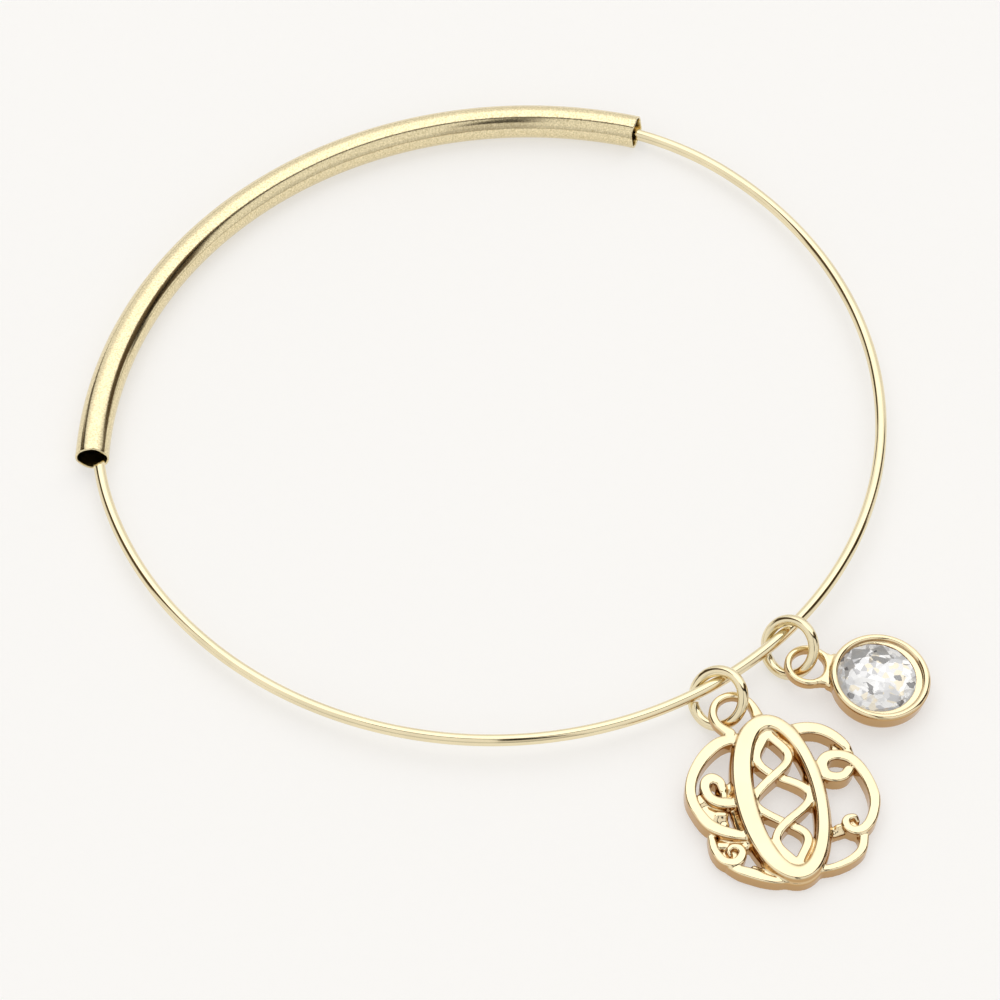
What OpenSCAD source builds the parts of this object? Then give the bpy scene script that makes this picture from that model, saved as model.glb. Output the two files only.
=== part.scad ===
// Wire bangle with a curved tube bead, a pierced scroll medallion and a crystal drop.
// Millimetres, +Z up. The bangle lies on its side on the plane z = 0, and the origin
// is on that plane, under the centre of the wire hoop.

/* [Hoop] */
// Radius of the wire's centreline over the stretch outside the tube
hoop_r = 34; // [33.5:0.25:34.5]
// Diameter of the hoop wire
wire_d = 1.0; // [0.8:0.05:1.05]
// Radius of the two tighter bends that lead the wire into the tube
bend_r = 26; // [25:0.5:27]
// How far the wire runs outside the tube's own centreline at mid tube
wire_lean = 0.3; // [0.25:0.05:0.35]
// Height of the hoop's centre above the surface it lies on
hoop_rise = 1.5; // [1.45:0.05:1.55]
// Slope of the hoop, which its two jump rings prop up at the charms' side, in degrees
hoop_slope = 1.1; // [1:0.05:1.2]
// Compass angle of the propped side, in degrees
hoop_prop_angle = -50.5; // [-52:0.5:-49]

/* [Tube] */
// Outside diameter of the tube bead
tube_d = 2.9; // [2.8:0.05:3.1]
// Diameter of its bore
tube_bore_d = 2.5; // [2.45:0.05:2.6]
// Radius of the tube's curved centreline
tube_r = 38.4; // [38.2:0.1:38.6]
// Where the centre of that curve lies, X
tube_x = 4.7; // [4.6:0.05:4.8]
// Where the centre of that curve lies, Y
tube_y = -6.3; // [-6.4:0.05:-6.2]
// Angle of the tube's right mouth about that centre, in degrees
tube_from = 78.9; // [76:0.1:82]
// Angle of the tube's left mouth about that centre, in degrees
tube_to = 181.3; // [178:0.1:184]

/* [Jump rings] */
// Diameter of a jump ring's centreline
ring_d = 4.6; // [4.5:0.02:4.62]
// Diameter of the jump rings' wire
ring_wire_d = 0.94; // [0.8:0.02:0.94]
// Width of the cut where a ring was closed
ring_cut = 0.12; // [0.06:0.02:0.3]

/* [Medallion] */
// Height of the side scrolls
scroll_h = 1.55; // [1.4:0.05:1.7]
// Height of the small lower scrolls
low_scroll_h = 1.35; // [1.2:0.05:1.4]
// Height of the low joints between ribbons
joint_h = 1.1; // [0.9:0.05:1.2]
// Height of the bold oval
oval_h = 1.8; // [1.75:0.05:2.0]
// Height of the braid where one strand passes over the other
braid_over_h = 1.7; // [1.55:0.05:1.9]
// Outside radius of the eye
eye_r = 1.95; // [1.9:0.05:2.05]
// Radius of the hole in the eye
eye_hole_r = 1.35; // [1.35:0.05:1.45]
// Thickness of the eye
eye_t = 0.8; // [0.7:0.05:0.8]

/* [Crystal drop] */
// Outside radius of the cup
cup_r = 4.15; // [4:0.05:4.2]
// Height of the cup
cup_h = 2.3; // [2.2:0.05:2.5]
// Radius of the cup's flat bottom
cup_foot_r = 3.1; // [2.9:0.1:3.3]
// Radius of the stone that shows inside the lip
cup_mouth_r = 3.25; // [3.2:0.01:3.3]
// How far the stone sits off the cup's centre, towards the eye
seat_shift = 0.3; // [0:0.05:0.3]
// Outside radius of the cup's eye
cup_eye_r = 2.0; // [1.95:0.05:2.05]
// Radius of the hole in the cup's eye
cup_eye_hole_r = 1.38; // [1.38:0.02:1.45]
// Radius of the stone's girdle
stone_r = 3.45; // [3.4:0.01:3.46]

/* [Hidden] */
$fn = 64;

// Colours
wire_gold = "#d9bf78";
tube_brass = "#cbb983";
charm_gold = "#e6cd84";
stone_clear = "#e9ecee";

// The hoop's four arcs. The two bends lie inside the hoop's circle and inside the arc that
// follows the tube, and touch both, so the wire has no kink.
tube_arc_r = tube_r + wire_lean;
centre_gap = norm([tube_x, tube_y]);
to_hoop_angle = atan2(-tube_y, -tube_x);
bend_from_hoop = hoop_r - bend_r;
bend_from_tube = tube_arc_r - bend_r;
bend_along = (pow(bend_from_tube, 2) - pow(bend_from_hoop, 2) - pow(centre_gap, 2))
    / (2 * centre_gap);
bend_across = sqrt(pow(bend_from_hoop, 2) - pow(bend_along, 2));
half_hoop_turn = atan2(bend_across, bend_along);
half_tube_turn = atan2(bend_across, bend_along + centre_gap);
joint_seam = 0.01;

// Each jump ring's place and lean: x, y, z of its centre, lean of its plane from the
// surface, compass angle of that lean, and angle of its cut round the ring
RING_X = 0;
RING_Y = 1;
RING_Z = 2;
RING_LEAN = 3;
RING_WAY = 4;
RING_CUT_AT = 5;
medallion_ring_place = [20.38, -28.75, 2.01, 40.9, -137, 318];
crystal_ring_place = [26.28, -23.49, 2.21, 47.9, -136.2, 320];

// Where a charm lies: x, y of its middle, turn of its own +Y (towards its eye), and how far
// the jump ring under its eye props it up. It tips about foot_y, the far edge of its back.
medallion_place = [25.95, -37.9, 29, 3.2];
medallion_foot_y = -7.7;
cup_place = [33.76, -26.03, 81.2, 3.8];

// Medallion, seen from its front with the eye at the top. Rows are x, y and width.
left_arc = [
    [-0.6, 6.55, 0.9], [-2.35, 6.8, 1.1], [-3.95, 6.35, 1.1], [-5.4, 5.45, 1.0],
    [-6.45, 4.35, 0.95], [-7.0, 3.2, 0.95], [-7.1, 2.0, 0.95], [-6.85, 0.5, 1.05],
    [-6.2, -0.5, 1.05], [-5.2, -1.35, 0.95], [-4.2, -1.9, 0.8]
];
left_curl = [
    [-4.25, 2.9, 0.65], [-4.15, 3.6, 0.7], [-4.6, 4.2, 0.75], [-5.25, 4.1, 0.75],
    [-5.65, 3.4, 0.75], [-5.6, 2.55, 0.75], [-5.1, 1.85, 0.8], [-4.3, 1.45, 0.85], [-3.4, 1.25, 0.8]
];
left_curl_end = [
    [-4.23, 3.2, 0.65], [-4.35, 2.5, 0.6], [-4.6, 1.8, 0.55]
];
left_spiral = [
    [-7.1, -0.6, 0.6], [-7.45, -1.75, 0.65], [-7.35, -2.8, 0.7], [-6.8, -3.45, 0.7],
    [-6.1, -3.5, 0.7], [-5.55, -3.1, 0.6], [-5.5, -2.5, 0.5], [-5.95, -2.15, 0.45], [-6.4, -2.3, 0.4]
];
left_foot = [
    [-7.0, -3.7, 0.5], [-6.35, -4.4, 0.9], [-5.55, -5.15, 1.0], [-4.85, -5.9, 0.8],
    [-3.9, -6.55, 0.65], [-2.6, -6.9, 0.5]
];
right_top = [
    [3.2, 5.4, 1.1], [4.5, 5.1, 1.15], [5.6, 4.5, 1.1], [6.4, 3.5, 1.0], [6.9, 2.3, 0.85], [7.0, 1.4, 0.6]
];
right_curl = [
    [6.15, 0.0, 0.7], [5.5, -0.25, 0.8], [4.85, -0.15, 0.9], [4.25, 0.3, 1.0], [4.1, 0.95, 1.0],
    [4.4, 1.55, 1.0], [5.1, 1.88, 1.0], [5.95, 1.65, 0.95], [6.72, 0.94, 0.95], [7.07, -0.2, 0.95],
    [7.1, -1.7, 0.95], [6.85, -3.0, 0.95], [6.35, -3.95, 0.9], [5.5, -4.85, 0.85], [4.6, -5.3, 0.75],
    [3.8, -5.15, 0.75], [3.45, -4.6, 0.7], [3.5, -4.1, 0.65], [3.95, -3.8, 0.6], [4.5, -3.95, 0.5]
];
right_foot = [
    [4.4, -5.8, 0.8], [3.6, -6.85, 0.8], [2.4, -7.3, 0.75], [1.0, -7.35, 0.7], [0.0, -7.15, 0.65],
    [-0.9, -6.85, 0.6]
];

// Low joints that tie the ribbons together: x, y of both ends, and width
joints = [
    [-6.8, 2.9, -5.7, 2.9, 1.0],
    [-6.3, 0.2, -4.9, 1.5, 0.75],
    [-4.4, 2.9, -3.0, 2.9, 0.8],
    [-4.3, 1.7, -3.4, 1.9, 0.9],
    [-4.1, 1.2, -4.7, -1.4, 0.6],
    [-6.7, -1.4, -5.2, -2.0, 0.9],
    [-5.6, -2.4, -4.2, -2.5, 0.7],
    [-5.2, -4.6, -3.9, -6.3, 0.6],
    [-0.9, 6.6, 0.3, 6.4, 0.8],
    [2.9, 1.0, 4.2, 0.9, 1.0],
    [6.4, 2.8, 6.0, 1.8, 0.9],
    [1.6, -4.3, 3.5, -4.5, 0.8],
    [4.3, -5.0, 4.3, -6.2, 0.9]
];

// Low floors inside the two small spirals: x, y and radius
spiral_floors = [[-6.45, -2.75, 0.85], [4.0, -4.5, 0.55]];

// The bold oval: its centre, half length, half width, width of its ribbon, and how much
// wider that is on the left side than on the right. The braid lies along its slanted length.
oval_centre = [-0.15, 0.05];
oval_long = 7.15;
oval_wide = 3.1;
oval_band = 1.35;
oval_swell = 0.3;
oval_slant = 16;

// The oval's low foot: how far it stands out on every side, and its height
oval_foot_w = 0.2;
oval_foot_h = 1.25;

// The braid: half length, half width of its middle loop, width of a strand, how fast its
// end loops narrow, and its number of loops
braid_long = 6.75;
braid_wide = 2.35;
braid_band = 0.75;
braid_taper = 1.2;
braid_loops = 3;

// Stretches of the two strands, by share of their length, that pass over and under
strand_over = [[[0.26, 0.41]], [[0.59, 0.74]]];
strand_under = [[[0, 0.26], [0.41, 1]], [[0, 0.59], [0.74, 1]]];

// Steps between two rows of a ribbon, round the oval, and along a strand of the braid
ribbon_steps = 5;
oval_steps = 60;
strand_steps = 36;

// A smooth curve through the rows, at a share t of the way from row i to row i + 1
function row_at(rows, i) = rows[min(max(i, 0), len(rows) - 1)];
function between(a, b, c, d, t) = 0.5 * (
    2 * b + (c - a) * t + (2 * a - 5 * b + 4 * c - d) * t * t
    + (3 * b - a - 3 * c + d) * t * t * t
);
function curve(rows) = [
    for (i = [0 : len(rows) - 2], k = [0 : ribbon_steps - 1])
        between(row_at(rows, i - 1), rows[i], rows[i + 1], row_at(rows, i + 2), k / ribbon_steps),
    rows[len(rows) - 1]
];

// The way that a list of points runs at point i, and one edge of the ribbon along it
function way(p, i) = let (
    d = row_at(p, i + 1) - row_at(p, i - 1),
    flat = [d[0], d[1]]
) flat / norm(flat);
function edge(p, side) = [
    for (i = [0 : len(p) - 1])
        let (w = way(p, i))
            [p[i][0] - side * w[1] * p[i][2] / 2, p[i][1] + side * w[0] * p[i][2] / 2]
];
function backwards(p) = [for (i = [len(p) - 1 : -1 : 0]) p[i]];

// Places a point of the oval or the braid, leaning over by the oval's slant
function slanted(p) = oval_centre + [
    p[0] * cos(oval_slant) + p[1] * sin(oval_slant),
    p[1] * cos(oval_slant) - p[0] * sin(oval_slant)
];

// The outer edge (side 1) or inner edge (side -1) of the bold oval, moved by extra
function oval_edge(side, extra = 0) = [
    for (i = [0 : oval_steps - 1]) let (
        t = 360 * i / oval_steps,
        out = [oval_long * cos(t), oval_wide * sin(t)],
        half = (oval_band - oval_swell * cos(t)) / 2 + extra
    ) slanted([oval_wide * cos(t), oval_long * sin(t)] + side * half * out / norm(out))
];

// The middle of a strand (turn 1 or -1) at a share t of its length, and its edges
function strand_at(turn, t) = let (y = 1 - 2 * t) [
    turn * braid_wide * pow(max(0, 1 - y * y), braid_taper) * sin(180 * braid_loops * t),
    braid_long * y
];
function strand_edge(turn, side, a, b) = let (n = ceil((b - a) * strand_steps)) [
    for (i = [0 : n]) let (
        t = a + (b - a) * i / n,
        d = strand_at(turn, t + 0.002) - strand_at(turn, t - 0.002),
        out = [-d[1], d[0]] / norm(d)
    ) slanted(strand_at(turn, t) + side * out * braid_band / 2)
];

// A wire bent to a radius, about the middle, between two angles
module bent_wire(radius, d, from, to) {
    rotate([0, 0, from])
        rotate_extrude(angle = to - from)
            translate([radius, 0])
                circle(d = d);
}

module ribbon(rows, height) {
    middle = curve(rows);
    linear_extrude(height)
        polygon(concat(edge(middle, 1), backwards(edge(middle, -1))));
}

module strand(turn, stretches, height) {
    for (s = stretches)
        linear_extrude(height)
            polygon(concat(
                strand_edge(turn, 1, s[0], s[1]),
                backwards(strand_edge(turn, -1, s[0], s[1]))
            ));
}

module joint_bar(j) {
    run = [j[2] - j[0], j[3] - j[1]];
    translate([j[0], j[1], 0])
        rotate([0, 0, atan2(run[1], run[0])])
            translate([0, -j[4] / 2, 0])
                cube([norm(run), j[4], joint_h]);
}

// Sets a charm down: its eye is propped up by the jump ring under it
module laid_down(place, foot_y) {
    translate([place[0], place[1], 0])
        rotate([0, 0, place[2]])
            translate([0, foot_y, 0])
                rotate([place[3], 0, 0])
                    translate([0, -foot_y, 0])
                        children();
}

// One arc of the hoop. It stops a hair short of both its ends, so that it can be joined to
// the next arc by a core a little thinner than the wire.
module hoop_arc(radius, from, to) {
    short = 180 * joint_seam / (PI * radius);
    bent_wire(radius, wire_d, from + short, to - short);
}

module joint_core(radius, angle) {
    rotate([0, 0, angle])
        translate([radius, 0, 0])
            rotate([90, 0, 0])
                cylinder(d = wire_d - 4 * joint_seam, h = wire_d, center = true);
}

// One closed loop of wire: the round stretch, two bends and the arc inside the tube
module wire_hoop() {
    color(wire_gold)
        translate([0, 0, hoop_rise])
            rotate([0, 0, hoop_prop_angle])
                rotate([0, -hoop_slope, 0])
                    rotate([0, 0, to_hoop_angle - hoop_prop_angle]) {
                        hoop_arc(hoop_r, half_hoop_turn, 360 - half_hoop_turn);
                        translate([-centre_gap, 0, 0])
                            hoop_arc(tube_arc_r, -half_tube_turn, half_tube_turn);
                        for (side = [0, 1])
                            mirror([0, side, 0])
                                translate([bend_along, bend_across, 0]) {
                                    hoop_arc(bend_r, half_tube_turn, half_hoop_turn);
                                    joint_core(bend_r, half_tube_turn);
                                    joint_core(bend_r, half_hoop_turn);
                                }
                    }
}

module curved_tube() {
    color(tube_brass)
        translate([tube_x, tube_y, tube_d / 2])
            rotate([0, 0, tube_from])
                rotate_extrude(angle = tube_to - tube_from)
                    translate([tube_r, 0])
                        difference() {
                            circle(d = tube_d);
                            circle(d = tube_bore_d);
                        }
}

// A round wire closed to a ring, with a fine cut where its ends meet
module jump_ring(place) {
    cut_angle = 360 * ring_cut / (PI * ring_d);
    color(wire_gold)
        translate([place[RING_X], place[RING_Y], place[RING_Z]])
            rotate([0, place[RING_LEAN], place[RING_WAY]])
                rotate([0, 0, place[RING_CUT_AT]])
                    bent_wire(ring_d / 2, ring_wire_d, cut_angle / 2, 360 - cut_angle / 2);
}

module medallion_ring() {
    jump_ring(medallion_ring_place);
}

module crystal_ring() {
    jump_ring(crystal_ring_place);
}

// The eye: an arch on two splayed feet that stand on the ribbons behind it
module medallion_eye() {
    eye_y = 8.9;
    eye_z = 0.6;
    foot_y = 6.6;
    translate([0, 0, eye_z])
        linear_extrude(eye_t)
            difference() {
                union() {
                    translate([0, eye_y])
                        circle(eye_r);
                    polygon([
                        [-eye_r + 0.03, eye_y], [-2.1, eye_y - 0.9], [-2.0, foot_y],
                        [2.1, foot_y], [2.15, eye_y - 1.2], [eye_r - 0.03, eye_y]
                    ]);
                }
                translate([0, eye_y])
                    circle(eye_hole_r);
                polygon([
                    [-1.2, eye_y - 0.8], [-0.9, eye_y - 1.6], [-0.9, foot_y - 0.1],
                    [0.9, foot_y - 0.1], [1.0, eye_y - 1.4], [1.2, eye_y - 0.8]
                ]);
            }
}

module medallion_scrolls() {
    for (rows = [left_arc, left_curl, left_curl_end, right_top, right_curl])
        ribbon(rows, scroll_h);
    for (rows = [left_spiral, left_foot, right_foot])
        ribbon(rows, low_scroll_h);
    for (j = joints)
        joint_bar(j);
    for (f = spiral_floors)
        translate([f[0], f[1], 0])
            cylinder(r = f[2], h = joint_h);
}

module bold_oval() {
    linear_extrude(oval_h)
        difference() {
            polygon(oval_edge(1));
            polygon(oval_edge(-1));
        }
    linear_extrude(oval_foot_h)
        difference() {
            polygon(oval_edge(1, oval_foot_w));
            polygon(oval_edge(-1, oval_foot_w));
        }
}

module braid() {
    for (k = [0, 1]) {
        strand(1 - 2 * k, strand_over[k], braid_over_h);
        strand(1 - 2 * k, strand_under[k], low_scroll_h);
    }
}

module medallion() {
    color(charm_gold)
        laid_down(medallion_place, medallion_foot_y) {
            medallion_scrolls();
            bold_oval();
            braid();
            medallion_eye();
        }
}

// Points of a round corner: centre, radius, first and last angle
function corner(x, z, r, a, b, steps) = [
    for (i = [0 : steps]) let (t = a + (b - a) * i / steps) [x + r * cos(t), z + r * sin(t)]
];

// Heights inside the cup, above its flat bottom
girdle_z = 1.56;
girdle_t = 0.12;
seat_gap = 0.06;
lip_z = 1.9;
culet_z = 0.5;

// The cup's rolled rim, the floor inside it, and how far out its bevel to the lip starts
rim_r = 0.28;
rim_floor_z = cup_h - rim_r;
bevel_w = 0.3;

// The outside of the cup, filled up to the floor inside its rim
module cup_body() {
    side_turn_r = cup_r - cup_foot_r;
    rotate_extrude()
        polygon(concat(
            [[0, 0]],
            corner(cup_foot_r, side_turn_r, side_turn_r, -90, 0, 5),
            corner(cup_r - rim_r, rim_floor_z, rim_r, 0, 180, 6),
            [[0, rim_floor_z]]
        ));
}

// The seat under the lip, a little wider than the stone
module stone_seat() {
    cavity_r = stone_r + seat_gap;
    rotate_extrude()
        polygon([
            [0, culet_z - 2 * seat_gap], [cavity_r, girdle_z - seat_gap],
            [cavity_r, girdle_z + girdle_t + seat_gap], [cup_mouth_r, lip_z], [0, lip_z]
        ]);
}

// The bevel that runs down from the floor inside the rim to the lip
module lip_bevel() {
    over = 0.1;
    slope = bevel_w / (rim_floor_z - lip_z);
    rotate_extrude()
        polygon([
            [0, lip_z - over], [cup_mouth_r, lip_z - over], [cup_mouth_r, lip_z],
            [cup_mouth_r + bevel_w + over * slope, rim_floor_z + over], [0, rim_floor_z + over]
        ]);
}

module cup_wall() {
    difference() {
        cup_body();
        translate([0, seat_shift, 0])
            stone_seat();
        intersection() {
            translate([0, seat_shift, 0])
                lip_bevel();
            cylinder(r = cup_r - 2 * rim_r, h = cup_h);
        }
    }
}

// A flat eye on a neck that widens into the wall of the cup and stays clear of the stone
module cup_eye() {
    eye_y = 6.1;
    eye_z = 0.9;
    neck_half_w = 1.35;
    translate([0, 0, eye_z])
        linear_extrude(eye_t)
            difference() {
                union() {
                    translate([0, eye_y])
                        circle(cup_eye_r);
                    polygon([
                        [-cup_eye_r + 0.05, eye_y - 0.4], [-neck_half_w, 4.3],
                        [-neck_half_w - 0.4, 3.75], [-0.9, 3.95],
                        [0.9, 3.95], [neck_half_w + 0.4, 3.75],
                        [neck_half_w, 4.3], [cup_eye_r - 0.05, eye_y - 0.4]
                    ]);
                }
                translate([0, eye_y])
                    circle(cup_eye_hole_r);
            }
}

module bezel_cup() {
    color(charm_gold)
        laid_down(cup_place, -cup_foot_r) {
            cup_wall();
            cup_eye();
        }
}

// Round brilliant. The crown's eight main facets run from the table to the girdle, and the
// star points lie where neighbouring main facets meet.
table_r = 1.85;
table_z = girdle_z + girdle_t + 0.86;
star_r = 2.5;
crown_z = girdle_z + girdle_t;
star_z = table_z - (star_r * cos(22.5) - table_r) * (table_z - crown_z) / (stone_r - table_r);

function at(r, a, z) = [r * cos(a), r * sin(a), z];

// Point numbers of each group
TABLE = 0;
STAR = 8;
CROWN = 16;
GIRDLE = 32;
CULET = 48;

module crystal() {
    points = concat(
        [for (k = [0 : 7]) at(table_r, 45 * k, table_z)],
        [for (k = [0 : 7]) at(star_r, 45 * k + 22.5, star_z)],
        [for (k = [0 : 15]) at(stone_r, 22.5 * k, crown_z)],
        [for (k = [0 : 15]) at(stone_r, 22.5 * k, girdle_z)],
        [[0, 0, culet_z]]
    );
    faces = concat(
        [[for (k = [7 : -1 : 0]) TABLE + k]],
        [for (k = [0 : 7]) [TABLE + k, TABLE + (k + 1) % 8, STAR + k]],
        [for (k = [0 : 7])
            [TABLE + k, STAR + k, CROWN + 2 * k, STAR + (k + 7) % 8]],
        [for (k = [0 : 7]) [STAR + k, CROWN + 2 * k + 1, CROWN + 2 * k]],
        [for (k = [0 : 7]) [STAR + k, CROWN + (2 * k + 2) % 16, CROWN + 2 * k + 1]],
        [for (k = [0 : 15]) let (n = (k + 1) % 16)
            [CROWN + k, CROWN + n, GIRDLE + n, GIRDLE + k]],
        [for (k = [0 : 15]) [GIRDLE + k, GIRDLE + (k + 1) % 16, CULET]]
    );
    color(stone_clear)
        laid_down(cup_place, -cup_foot_r)
            translate([0, seat_shift, 0])
                polyhedron(points, faces, convexity = 2);
}

wire_hoop();
curved_tube();
medallion_ring();
medallion();
crystal_ring();
bezel_cup();
crystal();
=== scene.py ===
"""Wire bangle with a curved tube bead, a pierced scroll medallion and a crystal drop.

The bangle lies on its side on a pale floor, as it does when it is put down.
"""

import math

import bpy
import numpy as np
from bpy.props import FloatProperty, FloatVectorProperty, PointerProperty
from mathutils import Matrix, Vector


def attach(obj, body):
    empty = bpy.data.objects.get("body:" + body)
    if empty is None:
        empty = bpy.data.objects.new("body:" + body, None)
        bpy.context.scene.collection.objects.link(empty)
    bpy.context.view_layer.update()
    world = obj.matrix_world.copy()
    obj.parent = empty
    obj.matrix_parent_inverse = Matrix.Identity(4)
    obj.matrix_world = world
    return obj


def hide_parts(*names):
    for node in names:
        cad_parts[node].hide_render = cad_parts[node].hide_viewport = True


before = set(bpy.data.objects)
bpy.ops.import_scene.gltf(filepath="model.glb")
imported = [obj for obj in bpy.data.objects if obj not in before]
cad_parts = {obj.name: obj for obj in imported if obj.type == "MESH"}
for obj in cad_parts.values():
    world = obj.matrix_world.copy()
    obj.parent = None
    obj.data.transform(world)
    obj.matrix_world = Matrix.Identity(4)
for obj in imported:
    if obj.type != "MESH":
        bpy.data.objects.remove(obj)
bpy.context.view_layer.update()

bl_info = {
    "name": "Charm Bangle",
    "version": (1, 0, 0),
    "blender": (4, 5, 0),
    "location": "View3D > Sidebar > Bangle",
    "description": "Builds a wire bangle with a tube bead, a scroll medallion and a crystal drop",
    "category": "Add Mesh",
}

# Lengths in this file are millimetres until a mesh is made
MM = 0.001

# The hoop: radius outside the tube, radius of the two bends, how far the wire runs outside
# the tube's middle line, height, slope, and the compass angle of the propped side
HOOP_R = 34.0
BEND_R = 26.0
WIRE_LEAN = 0.3
HOOP_RISE = 1.5
HOOP_SLOPE = 1.1
HOOP_PROP_ANGLE = -50.5

# The tube bead: centre and radius of its curve, and the angles of its two mouths
TUBE_CENTRE = (4.7, -6.3)
TUBE_R = 38.4
TUBE_FROM = 78.9
TUBE_TO = 181.3
TUBE_BORE = 2.5

# How far the wear of a mouth reaches, how far the right mouth is off square, and the
# upward and outward shares of that slant
MOUTH_REACH = 0.5
MOUTH_SLANT = 0.2
SLANT_UP = 0.83
SLANT_OUT = -0.56

# Jump rings: centre, lean from the surface, compass angle of the lean, angle of the cut
MEDALLION_RING = ((20.38, -28.75, 2.01), 40.9, -137.0, 318.0)
CRYSTAL_RING = ((26.28, -23.49, 2.21), 47.9, -136.2, 320.0)
RING_R = 2.3
RING_CUT = 0.12

# How far each cut end stands out of the ring's plane, and over what length it bends there
RING_SPRING = 0.12
RING_BEND = 0.8

# Where a charm lies: x, y, turn of its own +Y, lift of its eye's side in degrees, and the
# y of its own far edge, about which it is lifted
MEDALLION_PLACE = (25.95, -37.9, 29.0, 3.2, -7.7)
CUP_PLACE = (33.76, -26.03, 81.2, 3.8, -3.1)

# How far the stone sits off the cup's centre, towards the eye
SEAT_SHIFT = 0.3

# The cup's lip: height of its underside, and its inner radius about the cup's centre
LIP_LOW = 1.8
LIP_R = 3.6

# Where the neck and eye begin outside the cup's centre, and the eye's radius and centre
NECK_FROM_R = 3.88
CUP_EYE_R = 1.69
CUP_EYE_Y = 6.1

# The blocks of grid points that the castings are worked out on: low and high corner, step
MEDALLION_BLOCK = ((-8.4, -8.4, -0.2), (8.0, 11.4, 2.1), 0.088)
CUP_BLOCK = ((-4.4, -4.4, -0.2), (4.4, 8.4, 2.5), 0.066)

# Points round a wire, and points between two rows of a ribbon's table
WIRE_SIDES = 32
CURVE_STEPS = 8

# How fine the materials' patterns are, in cells to the metre
TARNISH_SCALE = 260.0
CLOUD_SCALE = 420.0
DENT_SCALE = 700.0
PAPER_SCALE = 900.0
FOIL_GLINT_SCALE = 2100.0
RUBBING_SCALE = 4200.0
SPECKLE_SCALE = 6500.0

# What is left of each channel in the painted shade on a casting's side faces, and on the tube in a
# dark speck and in a light one
WALL_SHADE_SHARES = (0.62, 0.46, 0.31)
DARK_SPECK = (0.85, 0.8245, 0.748)
LIGHT_SPECK = 1.2

# The tent: light of its walls, what the roof adds, and the shares that the horizon, the
# front, the side cards, the roof's seam and the post behind take away
WALL_LIGHT = 0.94
ROOF_LIGHT = 0.6
HORIZON_LOSS = 0.5
FRONT_LOSS = 0.22
CARD_LOSS = 0.85
SEAM_LOSS = 0.95
POST_LOSS = 0.9
TENT_WHITE = (1.0, 0.99, 0.97, 1.0)
CARD_BROWN = (0.6, 0.42, 0.24, 1.0)

# Half the side of the square floor, in metres
FLOOR_HALF = 1.2

# Camera: height above the horizon, roll, distance, aim, and half the width that it sees
CAMERA_HEIGHT = 55.49
CAMERA_ROLL = 2.76
CAMERA_DISTANCE = 450.0
CAMERA_AIM = (1.414, -9.098, 1.0)
CAMERA_HALF_VIEW = 500 / 5256.7


# Shader maths


class Sock:
    """A node socket that takes part in ordinary arithmetic, adding Math nodes as it goes."""

    def __init__(self, tree, socket):
        self.tree = tree
        self.socket = socket

    def math(self, operation, *values):
        node = self.tree.add("ShaderNodeMath", {"operation": operation})
        for slot, value in zip(node.inputs, values):
            self.tree.feed(slot, value)
        return Sock(self.tree, node.outputs[0])

    def __add__(self, other):
        return self.math("ADD", self, other)

    def __radd__(self, other):
        return self.math("ADD", other, self)

    def __sub__(self, other):
        return self.math("SUBTRACT", self, other)

    def __rsub__(self, other):
        return self.math("SUBTRACT", other, self)

    def __mul__(self, other):
        return self.math("MULTIPLY", self, other)

    def __rmul__(self, other):
        return self.math("MULTIPLY", other, self)

    def size(self):
        return self.math("ABSOLUTE", self)

    def at_least(self, other):
        return self.math("MAXIMUM", self, other)

    def between(self, low, high):
        """A smooth step from 0 at low to 1 at high; low may be the larger of the two."""
        settings = {"interpolation_type": "SMOOTHSTEP"}
        rising = low < high
        ends = {"From Min": min(low, high), "From Max": max(low, high)}
        node = self.tree.add("ShaderNodeMapRange", settings, {"Value": self, **ends})
        step = Sock(self.tree, node.outputs["Result"])
        return step if rising else 1 - step


class Nodes:
    """A node tree with one call for any node: its settings first, then its sockets."""

    def __init__(self, owner):
        owner.use_nodes = True
        self.tree = owner.node_tree
        self.tree.nodes.clear()

    def add(self, kind, settings=None, values=None):
        node = self.tree.nodes.new(kind)
        for key, value in (settings or {}).items():
            setattr(node, key, value)
        for key, value in (values or {}).items():
            self.feed(node.inputs[key], value)
        return node

    def feed(self, slot, value):
        if isinstance(value, Sock):
            self.tree.links.new(value.socket, slot)
        else:
            slot.default_value = value

    def out(self, node, name):
        return Sock(self, node.outputs[name])

    def object_coords(self):
        return self.out(self.add("ShaderNodeTexCoord"), "Object")

    def noise(self, vector, scale, detail=2.0, roughness=0.5):
        values = {"Vector": vector, "Scale": scale, "Detail": detail, "Roughness": roughness}
        return self.out(self.add("ShaderNodeTexNoise", values=values), "Fac")

    def mix(self, factor, first, second):
        """Mixes two colours. Their sockets share names with others, so they go by number."""
        node = self.add("ShaderNodeMix", {"data_type": "RGBA"})
        self.feed(node.inputs[0], factor)
        self.feed(node.inputs[6], first)
        self.feed(node.inputs[7], second)
        return Sock(self, node.outputs[2])

    def bump(self, height, strength, distance):
        values = {"Height": height, "Strength": strength, "Distance": distance}
        return self.out(self.add("ShaderNodeBump", values=values), "Normal")

    def finish(self, kind, name, values, ending="ShaderNodeOutputMaterial"):
        """Adds the last shader and joins its output of that name to the tree's ending."""
        shader = self.out(self.add(kind, values=values), name)
        self.feed(self.add(ending).inputs["Surface"], shader)

    def principled(self, values):
        self.finish("ShaderNodeBsdfPrincipled", "BSDF", values)


def new_material(name):
    material = bpy.data.materials.new(name)
    return material, Nodes(material)


def rgba(colour, share=1.0):
    """A colour with full alpha, times one share or a share for each channel."""
    return (*(float(part) for part in np.multiply(colour, share)), 1.0)


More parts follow.
